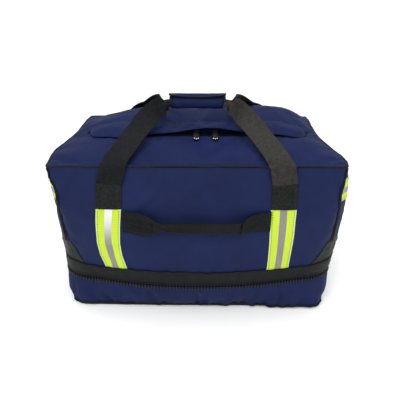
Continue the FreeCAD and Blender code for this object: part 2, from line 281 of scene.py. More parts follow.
def settle(grid, rows, columns, pressure, slack, cap, closed=False):
    """Lets a grid settle as slack cloth under pressure, held at rows and columns; caps how far it moves."""
    held = np.zeros(grid.shape[:2], bool)
    held[:, rows] = True
    held[columns] = True
    obj = new_object("settling", grid.reshape(-1, 3), grid_faces(*grid.shape[:2], closed))
    group = obj.vertex_groups.new(name="held")
    group.add([int(i) for i in np.flatnonzero(held.ravel())], 1.0, "REPLACE")
    modifier = obj.modifiers.new("cloth", "CLOTH")
    settings = modifier.settings
    for key, value in CLOTH_SETTINGS.items():
        setattr(settings, key, value)
    settings.uniform_pressure_force = pressure
    settings.shrink_min = -slack
    settings.effector_weights.gravity = 0
    modifier.collision_settings.use_collision = False
    modifier.point_cache.frame_start = 1
    modifier.point_cache.frame_end = CLOTH_FRAMES
    scene = bpy.context.scene
    for step in range(1, CLOTH_FRAMES + 1):
        scene.frame_set(step)
    evaluated = obj.evaluated_get(bpy.context.evaluated_depsgraph_get())
    mesh = evaluated.to_mesh()
    moved = np.zeros(len(mesh.vertices) * 3)
    mesh.vertices.foreach_get("co", moved)
    evaluated.to_mesh_clear()
    bpy.data.objects.remove(obj)
    scene.frame_set(1)
    shift = moved.reshape(grid.shape) - grid
    size = np.linalg.norm(shift, axis=2, keepdims=True)
    return grid + shift * cap * np.tanh(size / cap) / np.maximum(size, 1e-9)


# ---- materials ----
def shader_of(made):
    return made.node_tree.nodes["Principled BSDF"]


def material(name, colour, roughness, specular=0.5, metallic=0.0):
    made = bpy.data.materials.new(name)
    made.use_nodes = True
    inputs = shader_of(made).inputs
    inputs["Base Color"].default_value = (*colour, 1)
    inputs["Roughness"].default_value = roughness
    inputs["Metallic"].default_value = metallic
    inputs["Specular IOR Level"].default_value = specular
    return made


def add_node(made, kind, **inputs):
    node = made.node_tree.nodes.new(kind)
    for key, value in inputs.items():
        node.inputs[key.replace("_", " ")].default_value = value
    return node


def link(made, source, out, target, into):
    made.node_tree.links.new(source.outputs[out], target.inputs[into])


def dent(made, source, out, strength, distance):
    """Dents the surface by a texture."""
    node = add_node(made, "ShaderNodeBump", Strength=strength, Distance=distance)
    link(made, source, out, node, "Height")
    link(made, node, "Normal", shader_of(made), "Normal")


def fabric(name, colour, roughness, specular, thread, height=0.0002, mottle=0.12, grain=9.0):
    """Fine crossed threads in the surface, and a slight mottle in its colour."""
    made = material(name, colour, roughness, specular)
    where = add_node(made, "ShaderNodeTexCoord")
    crossed = add_node(made, "ShaderNodeMath")
    crossed.operation = "MULTIPLY"
    for index, direction in enumerate(("X", "Y")):
        wave = add_node(made, "ShaderNodeTexWave", Scale=1 / thread / 20, Distortion=0.6, Detail=1.0)
        wave.bands_direction = direction
        link(made, where, "UV", wave, "Vector")
        link(made, wave, "Fac", crossed, index)
    dent(made, crossed, "Value", 0.5, height)
    cloud = add_node(made, "ShaderNodeTexNoise", Scale=grain, Detail=5.0, Roughness=0.7)
    link(made, where, "Object", cloud, "Vector")
    ramp = add_node(made, "ShaderNodeValToRGB")
    for element, position, level in zip(ramp.color_ramp.elements, (0.35, 0.68), (1 - mottle, 1 + mottle)):
        element.position = position
        element.color = (*[c * level for c in colour], 1)
    link(made, cloud, "Fac", ramp, "Fac")
    link(made, ramp, "Color", shader_of(made), "Base Color")
    return made


def metal(name, colour, roughness):
    made = material(name, colour, roughness, metallic=1.0)
    scuff = add_node(made, "ShaderNodeTexNoise", Scale=320.0, Detail=4.0, Roughness=0.7)
    link(made, add_node(made, "ShaderNodeTexCoord"), "Object", scuff, "Vector")
    dent(made, scuff, "Fac", 0.25, 0.0002)
    return made


def paint_highlight_upwards(made, low, high, bright):
    """Paints a highlight into a tape's silver: its colour turns lighter towards its top, by its own height on
    the bag.
    """
    nodes = {node.type: node for node in made.node_tree.nodes}
    split = add_node(made, "ShaderNodeSeparateXYZ")
    link(made, nodes["TEX_COORD"], "Object", split, "Vector")
    share = add_node(made, "ShaderNodeMapRange", From_Min=low, From_Max=high)
    share.interpolation_type = "SMOOTHSTEP"
    link(made, split, "Z", share, "Value")
    mix = add_node(made, "ShaderNodeMix")
    mix.data_type = "RGBA"
    link(made, share, "Result", mix, "Factor")
    link(made, nodes["VALTORGB"], "Color", mix, 6)  # the mixer's colour inputs and output go by number
    mix.inputs[7].default_value = (*bright, 1)
    link(made, mix, 2, shader_of(made), "Base Color")


# name, colour, roughness, specular level, thread pitch and height, mottle, grain
NAVY = fabric("navy nylon", (0.006, 0.0114, 0.052), 0.66, 0.12, 0.0011, mottle=0.16)
# Painted top light: the top panels, storm flap and grip wrap get a slightly lighter copy of the navy nylon,
# standing in for the light falling on the top.
NAVY_TOP_PAINTED_LIGHT = fabric("navy nylon, painted top light", (0.007, 0.0124, 0.056), 0.64, 0.06, 0.0011, mottle=0.16)
WEBBING_BLACK = fabric("black webbing", (0.0045, 0.005, 0.0058), 0.74, 0.13, 0.003, 0.0008, 0.55, 150.0)
WEBBING_WORN = fabric("black webbing, worn", (0.017, 0.0154, 0.0128), 0.7, 0.22, 0.003, 0.0007, 0.5, 150.0)
WEBBING_RIBBED = fabric("black webbing, ribbed", (0.0045, 0.0048, 0.0053), 0.72, 0.15, 0.005, 0.0012, 0.3)
WEBBING_QUILTED = fabric(
    "black webbing, box stitched", (0.0076, 0.008, 0.0082), 0.8, 0.16, 0.004, 0.0012, 0.75, 210.0
)
COATED_BLACK = fabric("black coated fabric", (0.0052, 0.0062, 0.0064), 0.52, 0.12, 0.0009)
PIPING_BLACK = fabric("black piping", (0.003, 0.003, 0.0034), 0.6, 0.18, 0.0012)
TAPE_BLACK = fabric("zip tape", (0.0034, 0.0035, 0.004), 0.8, 0.12, 0.0016)
LINING = fabric("lining", (0.018, 0.02, 0.025), 0.75, 0.15, 0.0012)
LIME = fabric("lime tape", (0.43, 0.575, 0.034), 0.6, 0.2, 0.0013, mottle=0.05)
SILVER, SILVER_PAINTED_HIGHLIGHT = [
    fabric(name, (0.175, 0.168, 0.155), 0.42, 0.5, 0.0007, height=0.0001, mottle=0.08)
    for name in ("silver tape", "silver tape, painted highlight")
]
# Painted highlight: the front left tape's silver is mixed towards near white up its height, standing in for
# light reflected off it.
paint_highlight_upwards(SILVER_PAINTED_HIGHLIGHT, 0.176, 0.262, (0.62, 0.62, 0.62))
TEETH_BLACK = material("zip teeth", (0.003, 0.003, 0.0033), 0.42, 0.3)
THREAD_BLACK = material("black thread", (0.003, 0.003, 0.0035), 0.7)
THREAD_BOX = material("box thread", (0.0012, 0.0012, 0.0013), 0.85)
THREAD_NAVY = material("navy thread", (0.003, 0.0045, 0.018), 0.7)
THREAD_DARK_ON_TAPE = material("dark thread on tape", (0.03, 0.045, 0.012), 0.75)
PALE = material("pale tape edge", (0.46, 0.54, 0.38), 0.7)
BOARD = material("stiffener board", (0.02, 0.02, 0.022), 0.65)
PULL_BLACK = material("black pull", (0.006, 0.006, 0.0066), 0.45, 0.2)
SLIDER_BLACK = metal("black slider metal", (0.012, 0.012, 0.013), 0.36)
BRIGHT = metal("bright metal", (0.62, 0.6, 0.57), 0.28)


# ---- the side walls' form ----
def arc(start, middle, end, t):
    """Points of the arc through three points in plan, at shares t of its turn."""
    (ax, ay), (bx, by), (cx, cy) = start, middle, end
    d = 2 * (ax * (by - cy) + bx * (cy - ay) + cx * (ay - by))
    a2, b2, c2 = ax * ax + ay * ay, bx * bx + by * by, cx * cx + cy * cy
    ux = (a2 * (by - cy) + b2 * (cy - ay) + c2 * (ay - by)) / d
    uy = (a2 * (cx - bx) + b2 * (ax - cx) + c2 * (bx - ax)) / d
    first = math.atan2(ay - uy, ax - ux)
    turn = (math.atan2(cy - uy, cx - ux) - first + math.pi) % (2 * math.pi) - math.pi
    radius = math.hypot(ax - ux, ay - uy)
    angle = first + turn * np.asarray(t)
    return np.stack([ux + radius * np.cos(angle), uy + radius * np.sin(angle)], axis=-1)


def plan(u, half_x, half_y, radius, bow_end, bow_front):
    """Plan points of a bowed, rounded outline. u runs 0 to 8 round it, a corner or a side from each whole
    number: 0 front right corner, 1 right end, 2 corner, 3 back, 4 corner, 5 left end, 6 corner, 7 front."""
    u = np.asarray(u, float) % 8
    points = np.zeros(u.shape + (2,))
    diagonal = radius * math.sqrt(0.5)
    for index, (sx, sy) in enumerate(((1, -1), (1, 1), (-1, 1), (-1, -1))):
        cx, cy = sx * (half_x - radius), sy * (half_y - radius)
        start, end = (cx, sy * half_y), (sx * half_x, cy)
        far, crown = (sx * half_x, -cy), (sx * (half_x + bow_end), 0.0)
        if sx * sy > 0:
            start, end = end, start
            far, crown = (-cx, sy * half_y), (0.0, sy * (half_y + bow_front))
        corner = (u >= 2 * index) & (u < 2 * index + 1)
        side = (u >= 2 * index + 1) & (u < 2 * index + 2)
        points[corner] = arc(start, (cx + sx * diagonal, cy + sy * diagonal), end, u[corner] - 2 * index)
        points[side] = arc(end, crown, far, u[side] - 2 * index - 1)
    return points


def ruled(u, z, low_plan, low_z, high_plan, high_z):
    """A wall that runs straight from one outline up to another, and straight down below the first."""
    u, z = np.broadcast_arrays(u, z)
    share = np.clip((z - low_z) / (high_z - low_z), 0, 1)[..., None]
    flat = plan(u, *low_plan) * (1 - share) + plan(u, *high_plan) * share
    return np.concatenate([flat, z[..., None]], axis=-1)


def main_form(u, z):
    return ruled(u, z, KNEE_PLAN, KNEE_Z, SEAM_PLAN, SEAM_Z)


def u_at(value, z, axis, first):
    """The u of a place given by its x (axis 0) or y (axis 1), on the panel that starts at u first."""
    fine = np.linspace(first, first + 2, FINE)
    value, z = np.broadcast_arrays(np.asarray(value, float), np.asarray(z, float))
    found = np.zeros(value.shape)
    for where in np.ndindex(value.shape):
        line = main_form(fine, z[where])[:, axis]
        order = slice(None, None, 1 if line[0] < line[-1] else -1)
        found[where] = np.interp(value[where], line[order], fine[order])
    return found


def u_at_x(x, z, face):
    return u_at(x, z, 0, FACE_START[face])


def u_at_y(y, z, side):
    return u_at(y, z, 1, END_START[side])


class Skin:
    """A closed loop of cloth round the bag, with places on it given by u (0 to 8) and z."""

    def __init__(self, u, z, grid):
        self.u, self.z, self.grid = u, z, grid
        self.normals = grid_normals(grid, True)

    def at(self, u, z, lift=0.0):
        """Points on the skin, lifted off it along its normal."""
        u, z, lift = np.broadcast_arrays(np.asarray(u, float) % 8, z, lift)
        i = np.interp(u, np.append(self.u, 8.0), np.arange(len(self.u) + 1))
        j = np.interp(z, self.z, np.arange(len(self.z)))
        i0, j0 = np.floor(i).astype(int), np.minimum(np.floor(j).astype(int), len(self.z) - 2)
        fi, fj = (i - i0)[..., None], (j - j0)[..., None]
        i0 = i0 % len(self.u)
        i1 = (i0 + 1) % len(self.u)
        mixed = []
        for field in (self.grid, self.normals):
            low = field[i0, j0] * (1 - fi) + field[i1, j0] * fi
            high = field[i0, j0 + 1] * (1 - fi) + field[i1, j0 + 1] * fi
            mixed.append(low * (1 - fj) + high * fj)
        return mixed[0] + unit(mixed[1]) * lift[..., None]


def loop_columns(per_corner, per_front, per_end):
    """u values round a loop, closer together where the outline turns."""
    counts = [per_corner, per_end, per_corner, per_front] * 2
    return np.concatenate([k + np.arange(n) / n for k, n in enumerate(counts)])


# ---- stitching ----
STITCH_SHARES, STITCH_GROWTH = np.array([0.0, 0.25, 0.75, 1.0]), np.array([0.25, 1.0, 1.0, 0.25])[:, None]
STITCH_FACES = [(face[0],) + face[:0:-1] for face in ring_faces(4, 4)]
STITCH_SUNK = 0.0003
FLAP_STITCHES = {"length": 0.0046, "space": 0.003, "width": 0.0019, "rise": 0.0011}
HEM_STITCHES = {"length": 0.0036, "space": 0.002, "width": 0.001, "rise": 0.0006}
BOX_STITCHES = {"length": 0.0046, "space": 0.0006, "width": 0.0026, "rise": 0.0008}
TAPE_STITCHES = {"space": 0.0026, "rise": 0.0006}


def stitch_row(name, path, up, made, length=0.0034, space=0.0016, width=0.0011, rise=0.0007):
    """A row of thread stitches along a path; up is the way out of the cloth, one for all or one a point."""
    path = np.asarray(path, float)
    up = np.broadcast_to(np.asarray(up, float), path.shape)
    run = distances(path)
    pitch = length + space
    count = int(max(int(round(run[-1] / 0.001)), 1) * 0.001 / pitch)
    at = (np.arange(count) * pitch + space / 2)[:, None] + STITCH_SHARES * length
    centre, out = read_along(path, run, at), read_along(up, run, at)
    tangent = read_along(path, run, at + 0.0008) - read_along(path, run, at - 0.0008)
    half = unit(np.cross(tangent, out)) * width / 2 * STITCH_GROWTH
    low, high = centre - out * STITCH_SUNK, centre + out * rise * STITCH_GROWTH
    rings = np.stack([low - half, low + half, high + half * 0.6, high - half * 0.6], axis=2)
    obj = new_object(name, rings.reshape(-1, 3), repeated(STITCH_FACES, count, 16))
    obj.data.materials.append(made)
    return obj


def skin_path(skin, u, z, lift):
    """A path on a skin and the direction out of it at each point."""
    path = skin.at(u, z, lift)
    return path, skin.at(u, z, np.asarray(lift) + 1.0) - path


def skin_stitches(name, skin, u, z, lift, parent, space=0.0016):
    path, out = skin_path(skin, u, z, lift)
    child_of(stitch_row(name, path, out, THREAD_BLACK, space=space), parent)


TOOTH_SECTIONS = ((0.0, 0.42, 0.75), (0.55, 0.34, 1.0), (1.0, 0.26, 0.7))  # reach, half width, height
TOOTH_CORNERS = ((-1, 0), (1, 0), (0.7, 1), (-0.7, 1))


def teeth_row(name, path, out, across, pitch, width, height, depth):
    """Separate moulded teeth along a path; out points off the bag, across away from the zip's line."""
    run = distances(path)
    count = int(run[-1] / pitch)
    at = (np.arange(count) + 0.5) * pitch
    root, out, across = [read_along(field, run, at) for field in (path, out, across)]
    along = unit(np.cross(out, across)) * width
    corners = [
        root + across * reach * depth + along * sideways * half + out * (outward * tall * height - 0.0002)
        for reach, half, tall in TOOTH_SECTIONS
        for sideways, outward in TOOTH_CORNERS
    ]
    obj = new_object(name, np.stack(corners, axis=1).reshape(-1, 3), repeated(ring_faces(3, 4), count, 12))
    obj.data.polygons.foreach_set("use_smooth", [False] * len(obj.data.polygons))
    return obj


# ---- main compartment ----
# How far the filled top pushes its end seams out of the frame, in mm by y; a minus pulls them in.
END_Y = [-0.192, -0.166, -0.13, -0.091, -0.049, -0.003, 0.046, 0.1, 0.158, 0.192]
RIGHT_TOP = [4, 9, 10, 2, -5, -10, -8, -5, 1, 2]
LEFT_TOP = [3, 6, 12, 14, 8, 4, 1, 4, 6, 3]


def end_seam_shift(x, y):
    return np.where(x > 0, np.interp(y, END_Y, RIGHT_TOP), -np.interp(y, END_Y, LEFT_TOP)) / 1000


def near_ends(x):
    """1 near the bag's ends, 0 over its middle."""
    return smooth((np.abs(x) - 0.215) / 0.085)


def widened(grid):
    """The filled ends stand out beyond their seams, more at the right than at the left."""
    x, y, z = grid[..., 0], grid[..., 1], grid[..., 2]
    right = np.interp(z, [0.0, 0.035, 0.08, 0.118, 0.17, 0.3], [0, 5, 12, 15, 15, 11]) / 1000
    left = np.interp(z, [0.0, 0.035, 0.08, 0.118, 0.24, 0.33], [1, 8, 9, 7, 4, 3]) / 1000
    low = 1 - smooth((z - 0.1) / 0.06)
    clear_of_sliders = 1 - low * (1 - smooth((np.abs(y) - 0.085) / 0.05))
    shift = end_seam_shift(x, y)
    pulled_in = shift * np.sign(x) < 0
    top = smooth((z - 0.28) / 0.075)
    seam_share = np.where(pulled_in, smooth((z - 0.3535) / 0.006), top)
    moved = grid.copy()
    moved[..., 0] += np.where(x > 0, right, -left) * near_ends(x) * clear_of_sliders * (1 - top)
    moved[..., 0] += shift * near_ends(x) * seam_share
    return moved


def main_skin():
    """The side walls as one settled loop of cloth, held at its seams."""
    u = loop_columns(12, 108, 54)
    z = np.concatenate([np.linspace(SPLIT_Z + 0.0005, KNEE_Z, 9)[:-1], np.linspace(KNEE_Z, SEAM_Z, 54)])
    grid = widened(main_form(u[:, None], z))
    height = (z - KNEE_Z) / (SEAM_Z - KNEE_Z)
    from_corner = np.abs((u[:, None] - 0.5 + 1) % 2 - 1)
    full = np.sin(np.pi * np.clip(height, 0, 1)) ** 0.8 * smooth(from_corner / 0.35)
    swell = (0.0045 + 0.003 * fold_noise(grid * (1, 1, 1.3), 0.16, 3)) * full
    grid = grid + grid_normals(grid, True) * swell[..., None]
    grid = settle(grid, [0, 1, 2, 3, -1], np.isclose(u % 2, 0.5), 2.2, 0.012, 0.008, closed=True)
    under_seam = np.exp(-(SEAM_Z - z) / 0.016) * smooth((SEAM_Z - z) / 0.004)
    over_band = np.exp(-np.abs(z - KNEE_Z) / 0.02)
    fine = fold_noise(grid * (1, 1, 0.35), 0.022, 11)
    creases = ridged(grid * (1, 1, 0.55) + grid[..., [2, 2, 0]] * (0.5, 0.5, 0), 0.085, 5)
    x, y, z_all = grid[..., 0], grid[..., 1], grid[..., 2]
    across = (z_all - 0.292) * 0.73 - (x + 0.105) * 0.68
    along = (z_all - 0.292) * 0.68 + (x + 0.105) * 0.73
    pulled = (bump(across, 0.0, 0.0075) - 0.6 * bump(across, -0.014, 0.009)) * bump(along, 0.0, 0.045)
    detail = fine * (0.0016 * under_seam + 0.0012 * over_band) - 0.0011 * creases * full
    detail = detail + 0.0024 * pulled * (y < 0)
    return Skin(u, z, grid + grid_normals(grid, True) * detail[..., None])


def build_walls(skin):
    """Each panel is the loop's columns from one corner seam to the next."""
    for name, node, first in (
        ("front_wall", "front_panel", FACE_START[FRONT]),
        ("right_end_wall", "right_end_panel", END_START[RIGHT]),
        ("back_wall", "back_panel", FACE_START[BACK]),
        ("left_end_wall", "left_end_panel", END_START[LEFT]),
    ):
        from_first = np.concatenate([skin.u, skin.u + 8]) - first
        chosen = np.flatnonzero((from_first > -1e-6) & (from_first < 2 + 1e-6)) % len(skin.u)
        wall = cloth(name, skin.grid[chosen], WALL_CLOTH, normals=skin.normals[chosen])
        finish_piece(wall, NAVY, "bag_body", [node])


def corner_line(corner, z):
    """Where a corner's seam runs: the front two wander onto the front panel just under the top seam."""
    onto_front = {0.5: -1, 6.5: 1}.get(corner, 0)
    return corner + onto_front * 0.3 * bump(z, 0.303, 0.034)


def build_seam_piping(skin):
    """Black piping round the top seam and two cords down each upper corner seam."""
    u = loop_columns(10, 150, 70)
    path = widened(np.concatenate([plan(u, *SEAM_PLAN), np.full((len(u), 1), SEAM_Z + 0.0026)], axis=1))
    path = path + fold_noise(path, 0.05, 21)[:, None] * (0.0009, 0.0009, 0.0013)
    path[:, :2] *= 1 - 0.0008 / np.linalg.norm(path[:, :2], axis=1, keepdims=True)
    piping = tube("top_piping", path, 0.0024, 10, closed=True)
    finish_piece(piping, PIPING_BLACK, "bag_body", ["top_seam_piping"])
    z = np.linspace(0.172, SEAM_Z - 0.001, 44)
    gap = 0.075 * (1 - smooth((z - 0.3) / 0.06) * 0.25)
    cords = []
    for (face, side), corner in CORNER_U.items():
        line = corner_line(corner, z)
        cords.append(tube("cord", skin.at(line, z, 0.0012), 0.0019, 8))
        cords.append(tube("cord", skin.at(line + face * side * gap, z, 0.0012), 0.0014, 8))
    cords = joined("corner_seam_cords", cords)
    finish_piece(cords, PIPING_BLACK, "bag_body", ["corner_piping"])


def build_band(skin):
    """The black wear band round the foot of the main compartment, with a bound upper edge."""
    u = loop_columns(14, 120, 60)
    z = np.linspace(0.088, KNEE_Z + 0.0005, 9)
    grid = skin.at(u[:, None], z, 0.0024)
    puff = 0.0009 * fold_noise(grid * (1, 1, 0.4), 0.03, 31) * np.sin(np.pi * np.linspace(0, 1, 9))
    band = cloth("band", grid + grid_normals(grid, True) * (puff[..., None] + 0.0004), 0.0022, closed=True)
    finish_piece(band, COATED_BLACK, "bag_body", ["wear_band"])
    edge = tube("band_edge", skin.at(u, KNEE_Z, 0.0026), 0.0013, 8, closed=True)
    child_of(finish_piece(edge, PIPING_BLACK), band)
    for k, level in enumerate((KNEE_Z - 0.0045, 0.0905)):
        skin_stitches("band_stitches_%d" % k, skin, np.append(u, 8 - 1e-6), level, 0.003, band)


def build_corner_patches(skin):
    """Black coated corner patches over the band, highest on the corner seam."""
    t = np.linspace(-1, 1, 49)
    top = KNEE_Z + 0.0008 + 0.072 * (1 - t**2)
    z = KNEE_Z + 0.0003 + (top[:, None] - KNEE_Z) * np.linspace(0, 1, 22)
    for (face, side), name in PLACES.items():
        corner = CORNER_U[face, side]
        ends = u_at_x(side * 0.252, KNEE_Z, face), u_at_y(face * 0.1, KNEE_Z, side)
        first, last = sorted(corner + (float(end) - corner + 4) % 8 - 4 for end in ends)
        u = np.where(t < 0, corner + (corner - first) * t, corner + (last - corner) * t)
        name += "_corner"
        patch = cloth(name, skin.at(u[:, None], z, SEWN_ON), PATCH_CLOTH)
        finish_piece(patch, COATED_BLACK, "bag_body", [name + "_patch"])
        skin_stitches(name + "_stitches", skin, u[3:-3], top[3:-3] - 0.0035, 0.0014, patch)


# ---- base compartment ----
def base_skin():
    """The base compartment's wall as one settled loop, puckered along its foot."""
    u = loop_columns(16, 120, 60)
    z = np.linspace(FOOT_Z, 0.0777, 20)
    grid = widened(ruled(u[:, None], z, FOOT_PLAN, FOOT_Z, KNEE_PLAN, SPLIT_Z))
    height = np.linspace(0, 1, 20)
    swell = (0.005 + 0.0034 * fold_noise(grid * (1, 1, 0.5), 0.07, 41)) * np.sin(np.pi * height)
    grid = grid + grid_normals(grid, True) * swell[..., None]
    grid = settle(grid, [0, -3, -2, -1], [], 2.5, 0.016, 0.007, closed=True)
    foot = np.exp(-(z - FOOT_Z) / 0.02) * smooth(height / 0.06)
    pucker = fold_noise(grid * (1, 1, 0.2), 0.017, 43) * foot
    middle_of_wall = np.sin(np.pi * height) ** 0.6
    long_folds = ridged(grid * (1, 1, 0.25), 0.06, 47) * middle_of_wall
    x, front = grid[..., 0], grid[..., 1] < -0.1
    slack = bump(x, 0.0, 0.0055) + 0.8 * bump(x, 0.02, 0.006) - 0.7 * bump(x, 0.01, 0.005)
    detail = 0.0042 * pucker - 0.004 * long_folds - 0.0048 * slack * front * middle_of_wall
    detail = detail * smooth((1 - height) / 0.25)
    grid = grid + grid_normals(grid, True) * detail[..., None]
    grid[..., 1] -= 0.01 * smooth((x - 0.06) / 0.2) * front * (1 - height) ** 1.2
    return Skin(u, z, grid)


def foot_facing(skin, u):
    """A strip inside the wall's foot that runs in under the stiffening board."""
    levels = np.array([0.019, 0.012, 0.0065, 0.0042, 0.0038])
    grid = skin.at(u[:, None], levels, -0.003)
    inward = np.array([0.0, 0.0, 0.003, 0.01, 0.024])[:, None]
    grid[..., :2] *= 1 - inward / np.linalg.norm(grid[..., :2], axis=-1, keepdims=True)
    grid[..., 2] = levels
    return cloth("foot_facing", grid[:, ::-1], 0.001, closed=True)


def build_base(skin):
    wall = cloth("base_wall_cloth", skin.grid, LIGHT_CLOTH, closed=True, normals=skin.normals)
    finish_piece(wall, NAVY, "base", ["base_wall"])
    u = loop_columns(16, 170, 90)
    child_of(finish_piece(foot_facing(skin, u), NAVY), wall)
    path = skin.at(u, FOOT_Z + 0.003, 0.0008)
    path = path + fold_noise(path, 0.016, 51)[:, None] * (0.0008, 0.0008, 0.0012)
    piping = tube("foot_piping", path, 0.0023, 8, closed=True)
    finish_piece(piping, PIPING_BLACK, "base", ["base_piping"])


def build_base_zip(main, base):
    """Tapes and teeth round the ends and the front, and a fabric hinge between the zip's two ends."""
    right, left = [float(u_at_y(0.15, SPLIT_Z, side)) for side in (RIGHT, LEFT)]
    u = np.linspace(left, right + 8, 420)
    # half, skin, body, sign, tape's low and high edges, stitches' level, teeth's height and depth
    for half, skin, body, sign, low, high, stitches_z, tooth_height, tooth_depth in (
        ("upper", main, "bag_body", 1, 0.0815, 0.0877, 0.086, 0.0024, 0.0024),
        ("lower", base, "base", -1, 0.0734, 0.0765, 0.0741, 0.0036, 0.0094),
    ):
        grid = skin.at(u[:, None], np.linspace(low, high, 3), 0.0012)
        if skin is base:
            grid = grid + grid_normals(grid) * (0.0007 * fold_noise(grid, 0.03, 61))[..., None]
        tape = cloth("base_zip_tape_%s_cloth" % half, grid, 0.001)
        finish_piece(tape, TAPE_BLACK, body, ["base_zip_tape_" + half])
        skin_stitches("base_zip_stitches_" + half, skin, u, stitches_z, 0.0013, tape, space=0.0012)
        path, out = skin_path(skin, u, SPLIT_Z + sign * 0.0003, 0.0004)
        across = np.tile((0.0, 0.0, float(sign)), (len(u), 1))
        row = teeth_row("base_teeth_" + half, path, out, across, 0.0072, 0.0056, tooth_height, tooth_depth)
        finish_piece(row, TEETH_BLACK, body, ["base_zip_teeth_" + half])
    u = np.linspace(right + 0.02, left - 0.02, 160)[:, None]
    rows = np.linspace(0.052, 0.0892, 14)
    share = smooth((rows - 0.0765) / 0.004)[:, None]
    grid = base.at(u, np.minimum(rows, 0.0775), 0.0011) * (1 - share)
    grid = grid + main.at(u, np.maximum(rows, 0.0797), 0.0011) * share
    grid[..., 2] = rows
    strip = cloth("rear_hinge_cloth", grid, PATCH_CLOTH)
    finish_piece(strip, COATED_BLACK, None, ["rear_hinge_strip"])
    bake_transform(strip)


# ---- top ----
# The filled top's height at its middle, by y, in mm.
ROOF_Y = [-192, -170, -120, -64, -50, -36, 0, 40, 80, 120, 155, 178, 192]
ROOF_Z = [361.2, 367.2, 376.5, 384.2, 384.3, 385, 398, 409.5, 414.8, 407.5, 390.5, 373.5, 361.2]
ROOF = np.array([ROOF_Y, ROOF_Z]) / 1000
SEAM_TOP_Z = 0.3612
TOP_END = 0.3035


def roof_z(x, y):
    """Height of the filled top: a ridge along x that falls away to both end seams."""
    x, y = np.broadcast_arrays(x, y)
    t = np.clip((np.abs(x) - 0.105) / (TOP_END - 0.105), 0, 1)
    behind = smooth(y / 0.06)
    power = np.where(x < 0, 3.4 - 1.7 * behind, 3.6 - 0.7 * behind)
    height = spline(ROOF[0], ROOF[1], np.clip(y, -0.192, 0.192)) - SEAM_TOP_Z
    tilt = 0.97 + 0.06 * smooth((x - 0.05) / 0.15)
    return SEAM_TOP_Z + height * (1 - t**power) ** 0.95 * tilt


def mouth_edge(x, face):
    """The y of a top panel's edge: at the zip tape along the mouth, and at the zip's own line beyond it."""
    along = smooth((np.abs(x) - MOUTH + 0.004) / 0.01)
    return ZIP_Y + face * (TAPE_EDGE * (1 - along) + 0.0002)


def top_sheet(face):
    """The top in front of or behind the zip, settled: columns along x, rows from front to back."""
    x = np.linspace(-TOP_END, TOP_END, 141)
    v = np.linspace(0, 1, 34 if face == FRONT else 56)
    seam, edge = face * 0.1918, mouth_edge(x, face)[:, None]
    y = seam + (edge - seam) * v if face == FRONT else edge * (1 - v) + seam * v
    grid = np.stack([np.broadcast_to(x[:, None], y.shape), y, roof_z(x[:, None], y)], axis=-1)
    from_end = TOP_END - np.abs(x)[:, None]
    inside = np.sin(np.pi * v) ** 0.7 * smooth(from_end / 0.05)
    swell = (0.0004 + 0.0046 * fold_noise(grid, 0.11, 70 + face)) * inside
    grid = grid + grid_normals(grid) * swell[..., None]
    grid = settle(grid, [0, -1], [0, -1], 0.8, 0.014, 0.005)
    near_seam = np.exp(-np.abs(grid[..., 1] - seam) / 0.018)
    near_seam = np.clip(near_seam + np.exp(-(TOP_END - np.abs(grid[..., 0])) / 0.02), 0, 1)
    fine = fold_noise(grid * (1, 0.4, 1), 0.022, 73)
    creases = ridged(grid * (1, 0.6, 1), 0.075, 79 + face)
    edge_free = smooth(np.minimum(v, 1 - v) / 0.06) * smooth(from_end / 0.008)
    detail = (0.0014 * fine * near_seam - 0.0018 * creases * inside) * edge_free
    grid = grid + grid_normals(grid) * detail[..., None]
    grid[..., 0] += end_seam_shift(grid[..., 0], grid[..., 1]) * near_ends(grid[..., 0])
    return grid


def grid_sampler(grid):
    """Looks up points of a top sheet by x and y."""
    xs = grid[:, 0, 0]

    def at(x, y):
        x, y = np.broadcast_arrays(np.asarray(x, float), np.asarray(y, float))
        found = np.zeros(x.shape + (3,))
        for where in np.ndindex(x.shape):
            i = np.clip(np.interp(x[where], xs, np.arange(len(xs))), 0, len(xs) - 1.001)
            low, share = int(i), i - int(i)
            row = grid[low] * (1 - share) + grid[low + 1] * share
            row = row[np.argsort(row[:, 1])]
            found[where] = read_along(row, row[:, 1], y[where])
        return found

    return at


def mouth_blend(obj):
    """Bakes a piece's place into its mesh; it rides on no body."""
    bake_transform(obj)


def half_of(grid, side):
    """The left or right half of a grid, cut at its column nearest the bag's middle."""
    middle = int(np.argmin(np.abs(grid[:, 0, 0])))
    return grid[: middle + 1] if side == LEFT else grid[middle:]


def build_top(sheets):
    for (face, side), name in PLACES.items():
        piece = cloth("top_" + name, half_of(sheets[face], side), LIGHT_CLOTH)
        nodes = ["top_front_panel", "zip_facing_front"] if face == FRONT else ["top_rear_panel"]
        nodes.append(SIDE_NAME[side] + "_top_gusset")
        finish_piece(piece, NAVY_TOP_PAINTED_LIGHT, None, nodes)
        mouth_blend(piece)


